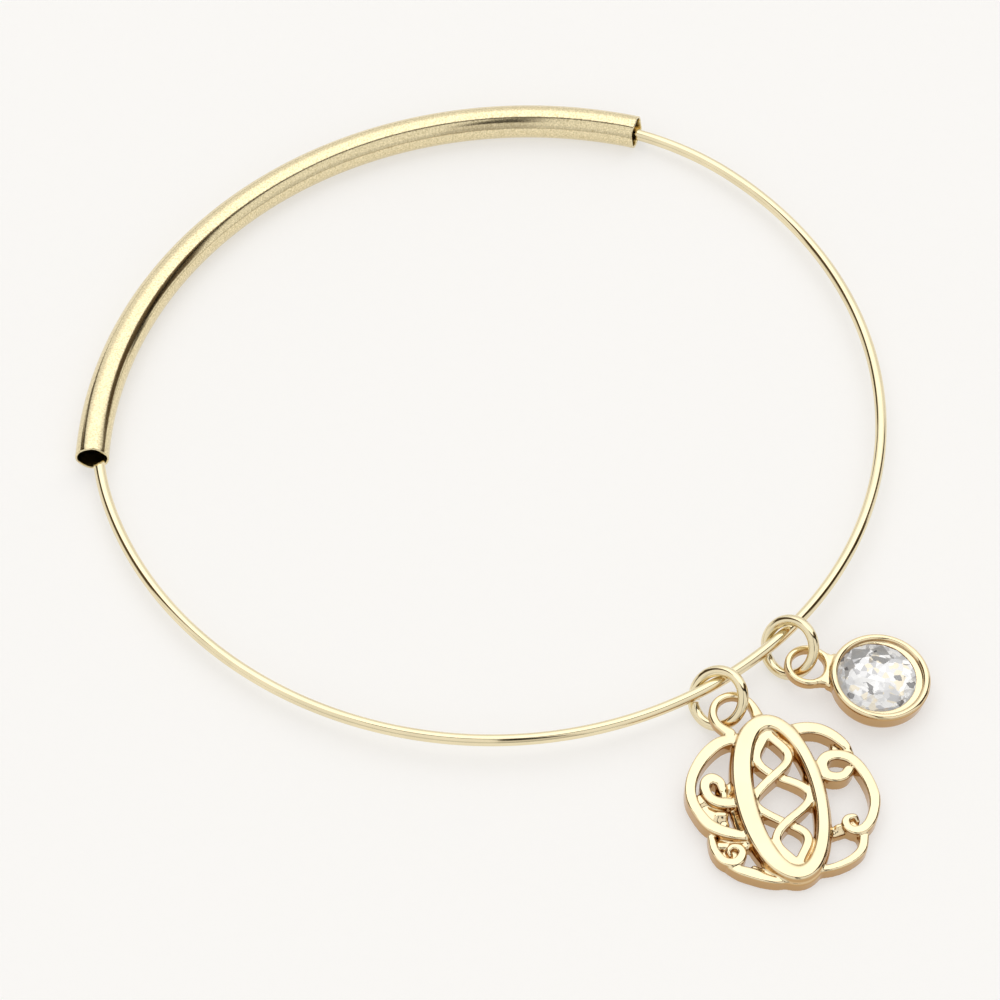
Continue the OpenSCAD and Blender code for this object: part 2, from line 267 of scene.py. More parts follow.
def polished_gold(name, colour, roughness, waviness, wall_shade=0.0):
    """Gold plate: faint tarnish in patches, fine rubbing marks, and a slightly uneven face.
    The side faces of a casting are painted deeper and browner: painted shade that stands in for the
    dim surroundings they reflect."""
    material, n = new_material(name)
    place = n.object_coords()
    patches = n.noise(place, TARNISH_SCALE, 3.0)
    rubbed = n.noise(place, RUBBING_SCALE, 2.0, 0.6)
    face = n.mix(patches.between(0.35, 0.7), rgba(colour), rgba(colour, 0.93))
    if wall_shade:
        normal = n.out(n.add("ShaderNodeNewGeometry"), "Normal")
        parts = n.add("ShaderNodeSeparateXYZ", values={"Vector": normal})
        # Painted shade: faces that turn sideways are mixed towards a deeper, browner colour, for
        # the dim surroundings they reflect
        shaded_wall = n.out(parts, "Z").between(0.8, 0.25)
        face = n.mix(shaded_wall * wall_shade, face, rgba(colour, WALL_SHADE_SHARES))
    n.principled({
        "Base Color": face,
        "Metallic": 1.0,
        "Roughness": roughness + 0.05 * patches + 0.04 * rubbed,
        "Normal": n.bump(n.noise(place, DENT_SCALE), waviness, 0.04 * MM),
    })
    return material


def satin_brass(name, colour):
    """The tube's finish: satin brass with a dense fine speckle and soft clouds."""
    material, n = new_material(name)
    place = n.object_coords()
    speckle = n.noise(place, SPECKLE_SCALE, 2.0, 0.7)
    cloud = n.noise(place, CLOUD_SCALE, 3.0)
    dark = speckle.between(0.52, 0.66)
    light = speckle.between(0.48, 0.34)
    face = n.mix(dark, rgba(colour), rgba(colour, DARK_SPECK))
    face = n.mix(light, face, rgba(colour, LIGHT_SPECK))
    n.principled({
        "Base Color": face,
        "Metallic": 1.0,
        "Roughness": 0.1 + 0.06 * cloud + 0.08 * dark,
        "Normal": n.bump(speckle, 0.12, 0.02 * MM),
    })
    return material


def stone_glass(name):
    """The stone's crown: clear glass with a low index, so that it stays light at its edges."""
    material, n = new_material(name)
    n.principled({
        "Base Color": (1.0, 1.0, 1.0, 1.0),
        "Roughness": 0.0,
        "IOR": 1.25,
        "Transmission Weight": 1.0,
    })
    return material


def painted_glint_foil(name):
    """The silver foil behind the stone, with painted reflections in small patches from white to
    grey, a few of them warm glints and a few dark, and a painted glow for the light that a deeper
    stone returns."""
    material, n = new_material(name)
    values = {"Vector": n.object_coords(), "Scale": FOIL_GLINT_SCALE}
    cells = n.out(n.add("ShaderNodeTexVoronoi", values=values), "Color")
    spread = n.add("ShaderNodeSeparateColor", values={"Color": cells})
    red, green = n.out(spread, "Red"), n.out(spread, "Green")
    # Painted reflections: the cells paint the facets' flashes on the foil, grey and white patches,
    # a few warm glints and a few dark flashes
    dark = green.between(0.95, 0.96)
    face = n.mix(red.between(0.5, 0.46), (0.53, 0.53, 0.53, 1.0), (0.42, 0.42, 0.43, 1.0))
    face = n.mix(red.between(0.2, 0.18), face, (0.26, 0.26, 0.27, 1.0))
    face = n.mix(green.between(0.18, 0.16), face, (0.5, 0.44, 0.32, 1.0))
    face = n.mix(dark, face, (0.2, 0.2, 0.2, 1.0))
    n.principled({
        "Base Color": face,
        "Metallic": 1.0,
        "Roughness": 0.06,
        # Painted glow, for the light that a deeper stone returns
        "Emission Color": n.mix(dark, (1.0, 0.99, 0.97, 1.0), (0.32, 0.31, 0.31, 1.0)),
        "Emission Strength": 0.3,
    })
    return material


# Meshes from arrays


def rows_of(*columns):
    """Rows of points or faces from their columns."""
    return np.stack(columns, axis=-1)


def grid_quads(rows, columns, close_rows, close_columns):
    """Quads of a grid of points, numbered row by row, that may close on itself either way."""
    i = np.arange(rows if close_rows else rows - 1)[:, None]
    j = np.arange(columns if close_columns else columns - 1)[None, :]
    i2 = (i + 1) % rows
    j2 = (j + 1) % columns
    corners = (i * columns + j, i2 * columns + j, i2 * columns + j2, i * columns + j2)
    return np.stack(np.broadcast_arrays(*corners), axis=-1).reshape(-1, 4)


def make_piece(name, points, quads, node, material, extra_faces=(), smooth=True):
    """Puts points, given in millimetres, and faces into an object that stands for a node."""
    mesh = bpy.data.meshes.new(name)
    sizes = np.concatenate(
        [np.full(len(quads), 4, np.int32), np.array([len(f) for f in extra_faces], np.int32)]
    )
    loops = np.concatenate(
        [np.asarray(quads, np.int32).ravel()] + [np.asarray(f, np.int32) for f in extra_faces]
    )
    metres = (np.asarray(points, np.float64) * MM).astype(np.float32)
    starts = np.concatenate([[0], np.cumsum(sizes)[:-1]]).astype(np.int32)
    mesh.vertices.add(len(points))
    mesh.vertices.foreach_set("co", metres.ravel())
    mesh.loops.add(len(loops))
    mesh.loops.foreach_set("vertex_index", loops)
    mesh.polygons.add(len(sizes))
    mesh.polygons.foreach_set("loop_start", starts)
    mesh.polygons.foreach_set("use_smooth", np.full(len(sizes), smooth))
    mesh.update(calc_edges=True)
    mesh.validate()
    piece = bpy.data.objects.new(name, mesh)
    bpy.context.scene.collection.objects.link(piece)
    for one in material if isinstance(material, list) else [material]:
        mesh.materials.append(one)
    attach(piece, "root")
    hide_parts(node)
    return piece


def turned(points, degrees, first, second):
    """Turns points from one axis towards another: the two coordinates mix by the cosine and
    sine of the angle."""
    a = math.radians(degrees)
    out = np.array(points)
    out[..., first] = points[..., first] * math.cos(a) - points[..., second] * math.sin(a)
    out[..., second] = points[..., first] * math.sin(a) + points[..., second] * math.cos(a)
    return out


def laid_down(points, place):
    """Lifts a charm's eye side about its far edge, turns it and sets it in its place."""
    x, y, turn, lift, edge = place
    lifted = turned(points - [0, edge, 0], lift, 1, 2) + [0, edge, 0]
    return turned(lifted, turn, 0, 1) + [x, y, 0]


def arc(centre, radius, start, end, count):
    """Points along an arc: centre plus radius times cosine and sine, without its last point."""
    a = np.radians(start + (end - start) * np.arange(count) / count)
    return rows_of(centre[0] + radius * np.cos(a), centre[1] + radius * np.sin(a), 0 * a)


def round_wire(middle, radius, closed):
    """A round wire: each ring of points is the middle line plus radius times cosine along
    the sideways direction and sine along the upward one."""
    if closed:
        ahead = np.roll(middle, -1, axis=0) - np.roll(middle, 1, axis=0)
    else:
        ahead = np.gradient(middle, axis=0)
    ahead /= np.linalg.norm(ahead, axis=1, keepdims=True)
    side = np.cross(ahead, (0, 0, 1))
    side /= np.linalg.norm(side, axis=1, keepdims=True)
    up = np.cross(side, ahead)
    a = 2 * np.pi * np.arange(WIRE_SIDES)[None, :, None] / WIRE_SIDES
    return middle[:, None] + radius * (np.cos(a) * side[:, None] + np.sin(a) * up[:, None])


# Castings as a field of distances, negative inside the metal


def soft_union(a, b, blend):
    """The smaller of two distances, rounded off by up to a quarter of blend where they meet."""
    h = np.maximum(blend - np.abs(a - b), 0) / blend
    return np.minimum(a, b) - h * h * blend / 4


def smooth_curve(rows):
    """Catmull-Rom curve through the rows: each stretch is a cubic through its two rows with
    slopes taken from their neighbours."""
    rows = np.asarray(rows, float)
    p = np.concatenate([rows[:1], rows, rows[-1:]])
    a, b, c, d = (p[k : len(p) - 3 + k, None] for k in range(4))
    t = (np.arange(CURVE_STEPS) / CURVE_STEPS)[None, :, None]
    out = 0.5 * (
        2 * b + (c - a) * t + (2 * a - 5 * b + 4 * c - d) * t**2 + (3 * b - a - 3 * c + d) * t**3
    )
    return np.concatenate([out.reshape(-1, rows.shape[1]), rows[-1:]])


class Casting:
    """A block of grid points, each with its distance to the metal, that ribbons are added
    to. Points far from any metal hold FAR."""

    FAR = 9.0

    def __init__(self, low, high, step):
        self.low = np.array(low, float)
        self.step = step
        counts = [int(math.ceil((h - l) / step)) + 1 for l, h in zip(low, high)]
        axes = (low[k] + step * np.arange(counts[k]) for k in range(3))
        self.axes = [axis.astype(np.float32) for axis in axes]
        self.field = np.full(counts, self.FAR, np.float32)

    def reach(self, low, high):
        """The slices of the block's first two axes that hold a box."""
        out = []
        for k in range(2):
            first = max(0, int((low[k] - self.low[k]) / self.step))
            last = min(len(self.axes[k]), int((high[k] - self.low[k]) / self.step) + 2)
            out.append(slice(first, last))
        return tuple(out)

    def add_ribbon(self, line, edge=0.13, blend=0.14, crown=0.06):
        """Adds a ribbon with rows x, y, width, bottom and top. Its section is a box with
        rounded upper edges and a slightly crowned face; its ends are round."""
        line = np.asarray(line, np.float32)
        room = line[:, 2].max() / 2 + 0.6
        part = self.reach(line[:, :2].min(0) - room, line[:, :2].max(0) + room)
        x, y = self.axes[0][part[0]][:, None], self.axes[1][part[1]][None, :]
        shape = (x.shape[0], y.shape[1])
        near = np.full(shape, 1e9, np.float32)
        rest = np.zeros(shape + (3,), np.float32)
        for a, b in zip(line[:-1], line[1:]):
            run = b - a
            length = run[0] ** 2 + run[1] ** 2
            if length == 0:
                continue
            t = np.clip(((x - a[0]) * run[0] + (y - a[1]) * run[1]) / length, 0, 1)
            far = (x - a[0] - t * run[0]) ** 2 + (y - a[1] - t * run[1]) ** 2
            closer = far < near
            near = np.where(closer, far, near)
            rest = np.where(closer[..., None], a[2:] + t[..., None] * run[2:], rest)
        d = np.sqrt(near)[..., None]
        half, low, top = rest[..., 0:1] / 2, rest[..., 1:2], rest[..., 2:3]
        top = top - crown * np.minimum(d / half, 1.5) ** 2
        z = self.axes[2][None, None, :]
        middle = (low + top) / 2
        round_off = np.where(z > middle, np.minimum(edge, half * 0.8), 0.08)
        across = d - half + round_off
        upward = np.abs(z - middle) - (top - low) / 2 + round_off
        field = np.hypot(np.maximum(across, 0), np.maximum(upward, 0))
        field += np.minimum(np.maximum(across, upward), 0) - round_off
        self.field[part] = soft_union(self.field[part], field, blend)

    def surface(self):
        """Surface nets: every cell that the surface crosses gets one point, the mean of the
        crossings on its edges, and every crossed edge gets a quad between its four cells.
        Twice the points are then evened out and moved back on to the surface."""
        f = self.field
        cells = tuple(n - 1 for n in f.shape)
        total = np.zeros(cells + (3,), np.float32)
        count = np.zeros(cells, np.float32)
        crossed = []
        for axis in range(3):
            first = f[tuple(slice(0, -1) if k == axis else slice(None) for k in range(3))]
            second = f[tuple(slice(1, None) if k == axis else slice(None) for k in range(3))]
            mask = (first < 0) != (second < 0)
            with np.errstate(divide="ignore", invalid="ignore"):
                share = np.where(mask, first / (first - second), 0).astype(np.float32)
            crossed.append((axis, mask, first < 0))
            u, v = [k for k in range(3) if k != axis]
            for du in (0, 1):
                for dv in (0, 1):
                    cut = [slice(None)] * 3
                    cut[u] = slice(du, cells[u] + du)
                    cut[v] = slice(dv, cells[v] + dv)
                    m = mask[tuple(cut)]
                    total[..., axis] += np.where(m, share[tuple(cut)], 0)
                    total[..., u] += np.where(m, du, 0)
                    total[..., v] += np.where(m, dv, 0)
                    count += m
        used = count > 0
        number = np.full(cells, -1, np.int64)
        number[used] = np.arange(used.sum())
        points = np.argwhere(used) + total[used] / count[used][:, None]
        quads = []
        for axis, mask, inside in crossed:
            u, v = [(1, 2), (2, 0), (0, 1)][axis]
            where = np.argwhere(mask)
            where = where[(where[:, u] > 0) & (where[:, v] > 0)]
            where = where[(where[:, u] < cells[u]) & (where[:, v] < cells[v])]
            around = []
            for du, dv in ((1, 1), (0, 1), (0, 0), (1, 0)):
                cell = where.copy()
                cell[:, u] -= du
                cell[:, v] -= dv
                around.append(number[tuple(cell.T)])
            quad = np.stack(around, axis=-1)
            flip = ~inside[tuple(where.T)]
            quad[flip] = quad[flip][:, ::-1]
            quads.append(quad)
        quads = np.concatenate(quads)
        for _ in range(2):
            points = self.settled(self.relaxed(points, quads))
        return points * self.step + self.low, quads

    def sampled(self, points):
        """The field between grid points, mixed from the eight around each point."""
        base = np.clip(np.floor(points).astype(np.int64), 0, np.array(self.field.shape) - 2)
        part = points - base
        total = np.zeros(len(points))
        for corner in np.ndindex(2, 2, 2):
            weight = np.prod(np.where(corner, part, 1 - part), axis=1)
            total += weight * self.field[tuple((base + corner).T)]
        return total

    def settled(self, points):
        """Moves each point on to the surface, along the slope of the field."""
        slope = np.stack([
            self.sampled(points + ahead) - self.sampled(points - ahead) for ahead in np.eye(3) * 0.5
        ], axis=-1)
        steep = np.maximum((slope**2).sum(axis=1), 1e-6)
        move = self.sampled(points)[:, None] * slope / steep[:, None]
        return points - np.clip(move, -0.4, 0.4)

    def relaxed(self, points, quads):
        """Moves each point half of the way to the mean of its neighbours."""
        total = np.zeros_like(points)
        count = np.zeros(len(points))
        for k in range(4):
            here, ahead = quads[:, k], quads[:, (k + 1) % 4]
            for a, b in ((here, ahead), (ahead, here)):
                for axis in range(3):
                    total[:, axis] += np.bincount(a, points[b, axis], len(points))
                count += np.bincount(a, minlength=len(points))
        return points * 0.5 + 0.5 * total / count[:, None]


# The medallion's ribbons, seen from the front with the eye at the top: x, y, width, top
LEFT_ARC = [
    (-0.6, 6.55, 0.9, 1.3), (-2.35, 6.8, 1.1, 1.55), (-3.95, 6.35, 1.1, 1.55),
    (-5.4, 5.45, 1.0, 1.55), (-6.45, 4.35, 0.95, 1.55), (-7.0, 3.2, 0.95, 1.55),
    (-7.1, 2.0, 0.95, 1.55), (-6.85, 0.5, 1.05, 1.55), (-6.2, -0.5, 1.05, 1.55),
    (-5.2, -1.35, 0.95, 1.5), (-4.2, -1.9, 0.8, 1.3),
]
LEFT_CURL = [
    (-4.22, 2.9, 0.75, 1.45), (-4.18, 3.55, 0.85, 1.55), (-4.6, 4.1, 1.0, 1.55),
    (-5.2, 4.0, 0.95, 1.55), (-5.6, 3.4, 0.88, 1.55), (-5.58, 2.55, 0.88, 1.55),
    (-5.1, 1.85, 0.95, 1.55), (-4.3, 1.45, 0.95, 1.5), (-3.4, 1.25, 0.85, 1.3),
]
LEFT_CURL_END = [(-4.23, 3.2, 0.65, 1.45), (-4.35, 2.5, 0.6, 1.4), (-4.6, 1.8, 0.55, 1.4)]
LEFT_SPIRAL = [
    (-7.1, -0.6, 0.65, 1.2), (-7.42, -1.75, 0.72, 1.3), (-7.3, -2.8, 0.8, 1.35),
    (-6.8, -3.4, 0.85, 1.4), (-6.1, -3.5, 0.85, 1.4), (-5.55, -3.1, 0.75, 1.4),
    (-5.5, -2.5, 0.62, 1.4), (-5.95, -2.15, 0.52, 1.35), (-6.4, -2.3, 0.45, 1.3),
    (-6.5, -2.75, 0.35, 1.2),
]
LEFT_FOOT = [
    (-7.0, -3.7, 0.5, 1.25), (-6.35, -4.4, 0.9, 1.35), (-5.55, -5.15, 1.0, 1.35),
    (-4.85, -5.9, 0.8, 1.35), (-3.9, -6.55, 0.65, 1.3), (-2.6, -6.9, 0.5, 1.2),
]
RIGHT_TOP = [
    (3.2, 5.4, 1.1, 1.5), (4.5, 5.1, 1.15, 1.55), (5.6, 4.5, 1.1, 1.55), (6.4, 3.5, 1.0, 1.55),
    (6.9, 2.3, 0.85, 1.5), (7.0, 1.4, 0.6, 1.3),
]
RIGHT_CURL = [
    (6.1, 0.05, 0.85, 1.5), (5.5, -0.25, 0.9, 1.55), (4.85, -0.15, 0.95, 1.55),
    (4.25, 0.3, 1.0, 1.55), (4.12, 0.95, 1.05, 1.55), (4.4, 1.55, 1.05, 1.55),
    (5.1, 1.88, 1.0, 1.55), (5.95, 1.65, 0.95, 1.55), (6.72, 0.94, 0.95, 1.55),
    (7.07, -0.2, 0.95, 1.55), (7.1, -1.7, 0.95, 1.55), (6.85, -3.0, 0.95, 1.55),
    (6.35, -3.95, 0.9, 1.5), (5.5, -4.85, 0.9, 1.5), (4.6, -5.25, 0.88, 1.45),
    (3.85, -5.1, 0.82, 1.45), (3.5, -4.6, 0.75, 1.45), (3.55, -4.1, 0.7, 1.45),
    (3.95, -3.82, 0.62, 1.4), (4.5, -3.95, 0.5, 1.35), (4.55, -4.4, 0.35, 1.2),
]
RIGHT_FOOT = [
    (4.4, -5.8, 0.8, 1.3), (3.6, -6.85, 0.8, 1.35), (2.4, -7.3, 0.75, 1.35),
    (1.0, -7.35, 0.7, 1.35), (0.0, -7.15, 0.65, 1.3), (-0.9, -6.85, 0.6, 1.2),
]
# The order in which the scrolls are blended in
SCROLLS = (
    LEFT_SPIRAL, LEFT_FOOT, RIGHT_FOOT, LEFT_ARC, LEFT_CURL, LEFT_CURL_END, RIGHT_TOP, RIGHT_CURL
)
# The eye's arch and its two feet: x, y, width, bottom and top
EYE_ARCH = [
    (-1.2, 7.3, 1.0, 0.5, 1.45), (-1.5, 7.9, 0.85, 0.6, 1.42), (-1.74, 8.6, 0.78, 0.6, 1.4),
    (-1.62, 9.55, 0.74, 0.6, 1.4), (-0.93, 10.34, 0.7, 0.6, 1.4), (0.0, 10.6, 0.66, 0.6, 1.4),
    (0.93, 10.33, 0.68, 0.6, 1.4), (1.58, 9.53, 0.7, 0.6, 1.4), (1.74, 8.6, 0.8, 0.6, 1.42),
    (1.66, 7.8, 0.98, 0.6, 1.5), (1.6, 7.0, 1.15, 0.5, 1.6),
]
# Low bridges between the ribbons: x and y of both ends, width, top
JOINTS = [
    (-6.8, 2.9, -5.7, 2.9, 1.1, 1.15), (-5.55, 1.0, -5.2, 0.8, 0.75, 1.25),
    (-4.4, 2.9, -3.0, 2.9, 0.9, 1.15), (-4.3, 1.7, -3.4, 1.9, 1.0, 1.1),
    (-4.1, 1.2, -4.7, -1.4, 0.7, 0.95), (-6.7, -1.4, -5.2, -2.0, 1.0, 0.9),
    (-5.6, -2.4, -4.2, -2.5, 0.8, 1.1), (-5.2, -4.6, -3.9, -6.3, 0.7, 1.05),
    (-0.9, 6.6, 0.3, 6.4, 0.8, 1.15), (2.9, 1.0, 4.2, 0.9, 1.1, 1.05),
    (6.4, 2.8, 6.0, 1.8, 1.0, 0.8), (1.6, -4.3, 3.5, -4.5, 0.95, 0.9),
    (4.15, -5.0, 4.15, -6.1, 0.8, 0.95), (-6.3, 2.4, -6.1, 0.9, 1.0, 1.0),
    (-5.9, 1.3, -5.55, 0.1, 0.95, 0.95), (2.8, -4.15, 2.95, -4.15, 0.5, 1.2),
]
# Thin floors inside the two spirals: x and y of the middle, width, top
SPIRAL_FLOORS = [(-6.45, -2.75, 1.5, 0.85), (4.0, -4.5, 1.0, 0.85)]
# The bold oval: its middle, half length and width, slant, top, and how far and how high
# its foot spreads; and the half width and length of the braid inside it
OVAL_CENTRE = (-0.15, 0.05)
OVAL_LONG = 7.15
OVAL_WIDE = 3.1
OVAL_SLANT = 16.0
OVAL_TOP = 1.8
OVAL_FOOT = 0.2
OVAL_FOOT_TOP = 1.25
BRAID_WIDE = 2.35
BRAID_LONG = 6.75


def with_bottom(rows):
    """A ribbon's middle line, with a flat back at height 0."""
    return np.insert(smooth_curve(rows), 3, 0.0, axis=1)


def slanted(x, y):
    """Leans a point over by the oval's slant and moves it to the oval's centre."""
    a = math.radians(OVAL_SLANT)
    return (
        OVAL_CENTRE[0] + x * math.cos(a) + y * math.sin(a),
        OVAL_CENTRE[1] + y * math.cos(a) - x * math.sin(a),
    )


def bold_oval_line(spread=0.0, top=OVAL_TOP, count=120):
    """An oval whose ribbon swells on its left side: width falls with the cosine. Spread
    widens the ribbon on both sides."""
    t = 2 * np.pi * np.arange(count + 1) / count
    x, y = slanted(OVAL_WIDE * np.cos(t), OVAL_LONG * np.sin(t))
    return rows_of(x, y, 1.35 - 0.3 * np.cos(t) + 2 * spread, 0 * t, top + 0 * t)


def strand_line(turn, count=90):
    """A strand of the braid: sideways it is a sine of three loops under a narrowing curve.
    Its height rises where it passes over the other strand and falls where it dips under."""
    t = np.arange(count + 1) / count
    along = 1 - 2 * t
    aside = turn * BRAID_WIDE * np.maximum(0, 1 - along**2) ** 1.2 * np.sin(3 * np.pi * t)
    x, y = slanted(aside, BRAID_LONG * along)
    weave = np.exp(-(((t - 1 / 3) / 0.07) ** 2)) - np.exp(-(((t - 2 / 3) / 0.07) ** 2))
    top = 1.42 + 0.26 * turn * weave
    return rows_of(x, y, 0.8 + 0 * t, 0 * t, top)


def medallion_surface():
    """The whole casting: joints, scrolls, braid, bold oval on its low foot, and eye, with a
    flat back where the blends would bulge."""
    casting = Casting(*MEDALLION_BLOCK)
    for x0, y0, x1, y1, width, top in JOINTS:
        casting.add_ribbon([(x0, y0, width, 0, top), (x1, y1, width, 0, top)], edge=0.3, blend=0.45)
    for x, y, width, top in SPIRAL_FLOORS:
        casting.add_ribbon([(x - 0.05, y, width, 0, top), (x + 0.05, y, width, 0, top)])
    for rows in SCROLLS:
        casting.add_ribbon(with_bottom(rows))
    casting.add_ribbon(strand_line(1))
    casting.add_ribbon(strand_line(-1), blend=0.1)
    casting.add_ribbon(bold_oval_line(OVAL_FOOT, OVAL_FOOT_TOP), edge=0.25, blend=0.2)
    casting.add_ribbon(bold_oval_line(), edge=0.15, blend=0.25, crown=0.13)
    casting.add_ribbon(smooth_curve(EYE_ARCH), edge=0.22, blend=0.15)
    casting.field = np.maximum(casting.field, -casting.axes[2])
    return casting.surface()


def polygon_distance(r, z, corners):
    """Signed distance from points to a closed outline in the plane: the least distance to
    its edges, negative where a ray crosses the outline an odd number of times."""
    near = np.full(r.shape, 1e9, np.float32)
    inside = np.zeros(r.shape, bool)
    for (r0, z0), (r1, z1) in zip(corners, np.roll(corners, -1, axis=0)):
        dr, dz = r1 - r0, z1 - z0
        t = np.clip(((r - r0) * dr + (z - z0) * dz) / (dr * dr + dz * dz), 0, 1)
        near = np.minimum(near, (r - r0 - t * dr) ** 2 + (z - z0 - t * dz) ** 2)
        if dz != 0:
            inside ^= ((z0 > z) != (z1 > z)) & (r < r0 + (z - z0) * dr / dz)
    return np.where(inside, -1, 1) * np.sqrt(near)


def cup_outline():
    """Half section of the cup's body: flat foot, round shoulder and rolled rim."""
    def bend(r, z, radius, first, last, count):
        a = np.radians(np.linspace(first, last, count))
        return rows_of(r + radius * np.cos(a), z + radius * np.sin(a))

    return np.concatenate([
        [[-0.5, 0.0]],
        bend(3.1, 1.05, 1.05, -90, 0, 12),
        bend(3.9, 1.98, 0.34, 0, 180, 14),
        [[3.56, 1.96], [-0.5, 1.96]],
    ])


def seat_outline():
    """Half section of the hollow that the stone sits in, about the stone's own middle: a
    bowl, the groove under the lip, and the bevel above it."""
    return np.array([
        [-0.5, 0.34], [1.4, 0.4], [2.7, 0.8], [3.51, 1.5], [3.51, 1.74], [3.25, 1.9],
        [3.62, 2.08], [4.4, 2.6], [-0.5, 2.6],
    ])


def cup_surface():
    """The cup with its neck and eye, blended where they are soldered."""
    casting, flare = Casting(*CUP_BLOCK), Casting(*CUP_BLOCK)
    x, y, z = np.ix_(*casting.axes)
    shape = casting.field.shape
    centre_r = np.broadcast_to(np.hypot(x, y), shape)
    stone_r = np.broadcast_to(np.hypot(x, y - SEAT_SHIFT), shape)
    body = polygon_distance(centre_r, z, cup_outline())
    # The hollow follows the stone, but above the lip's underside it stays round the cup
    lip = np.where(z > LIP_LOW, centre_r - LIP_R, -Casting.FAR)
    seat = np.maximum(polygon_distance(stone_r, z, seat_outline()), lip)
    casting.field = -soft_union(-body, seat, 0.12).astype(np.float32)
    for side in (-1, 1):
        flare.add_ribbon([
            (side * 1.35, 5.0, 0.62, 0.9, 1.7), (side * 1.1, 4.4, 0.9, 0.9, 1.68),
            (side * 1.2, 4.0, 1.1, 0.9, 1.66),
        ], edge=0.25, blend=0.2)
    bridge = [(-0.7, 4.35, 0.7, 0.95, 1.62), (0.7, 4.35, 0.7, 0.95, 1.62)]
    flare.add_ribbon(bridge, edge=0.2, blend=0.2)
    t = 2 * np.pi * np.arange(49) / 48
    across, along = CUP_EYE_R * np.cos(t), CUP_EYE_Y + CUP_EYE_R * np.sin(t)
    eye = rows_of(across, along, *(0 * t + part for part in (0.62, 0.9, 1.7)))
    flare.add_ribbon(eye, edge=0.25, blend=0.15)
    arm = np.maximum(flare.field, NECK_FROM_R - centre_r)
    casting.field = soft_union(casting.field, arm.astype(np.float32), 0.3)
    return casting.surface()


# Operators, one for each piece


class BangleSettings(bpy.types.PropertyGroup):
    """Sizes and colours that a user may want to change."""

    wire_d: FloatProperty(
        name="Wire diameter", description="Diameter of the hoop's wire",
        default=0.001, min=0.0008, max=0.00105, unit="LENGTH", precision=5,
    )
    tube_d: FloatProperty(
        name="Tube diameter", description="Outside diameter of the tube bead",
        default=0.0029, min=0.0028, max=0.003, unit="LENGTH", precision=5,
    )
    ring_wire_d: FloatProperty(
        name="Ring wire diameter", description="Diameter of the jump rings' wire",
        default=0.00094, min=0.0008, max=0.00094, unit="LENGTH", precision=5,
    )
    gold: FloatVectorProperty(
        name="Gold", description="Colour of the wire and the jump rings",
        default=(0.88, 0.77, 0.52), size=3, min=0.0, max=1.0, subtype="COLOR",
    )
    casting: FloatVectorProperty(
        name="Casting gold", description="Colour of the medallion and the stone's cup",
        default=(0.9, 0.76, 0.5), size=3, min=0.0, max=1.0, subtype="COLOR",
    )
    brass: FloatVectorProperty(
        name="Brass", description="Colour of the tube bead",
        default=(0.79, 0.685, 0.44), size=3, min=0.0, max=1.0, subtype="COLOR",
    )
    floor: FloatVectorProperty(
        name="Floor", description="Colour of the floor",
        default=(0.48, 0.475, 0.465), size=3, min=0.0, max=1.0, subtype="COLOR",
    )


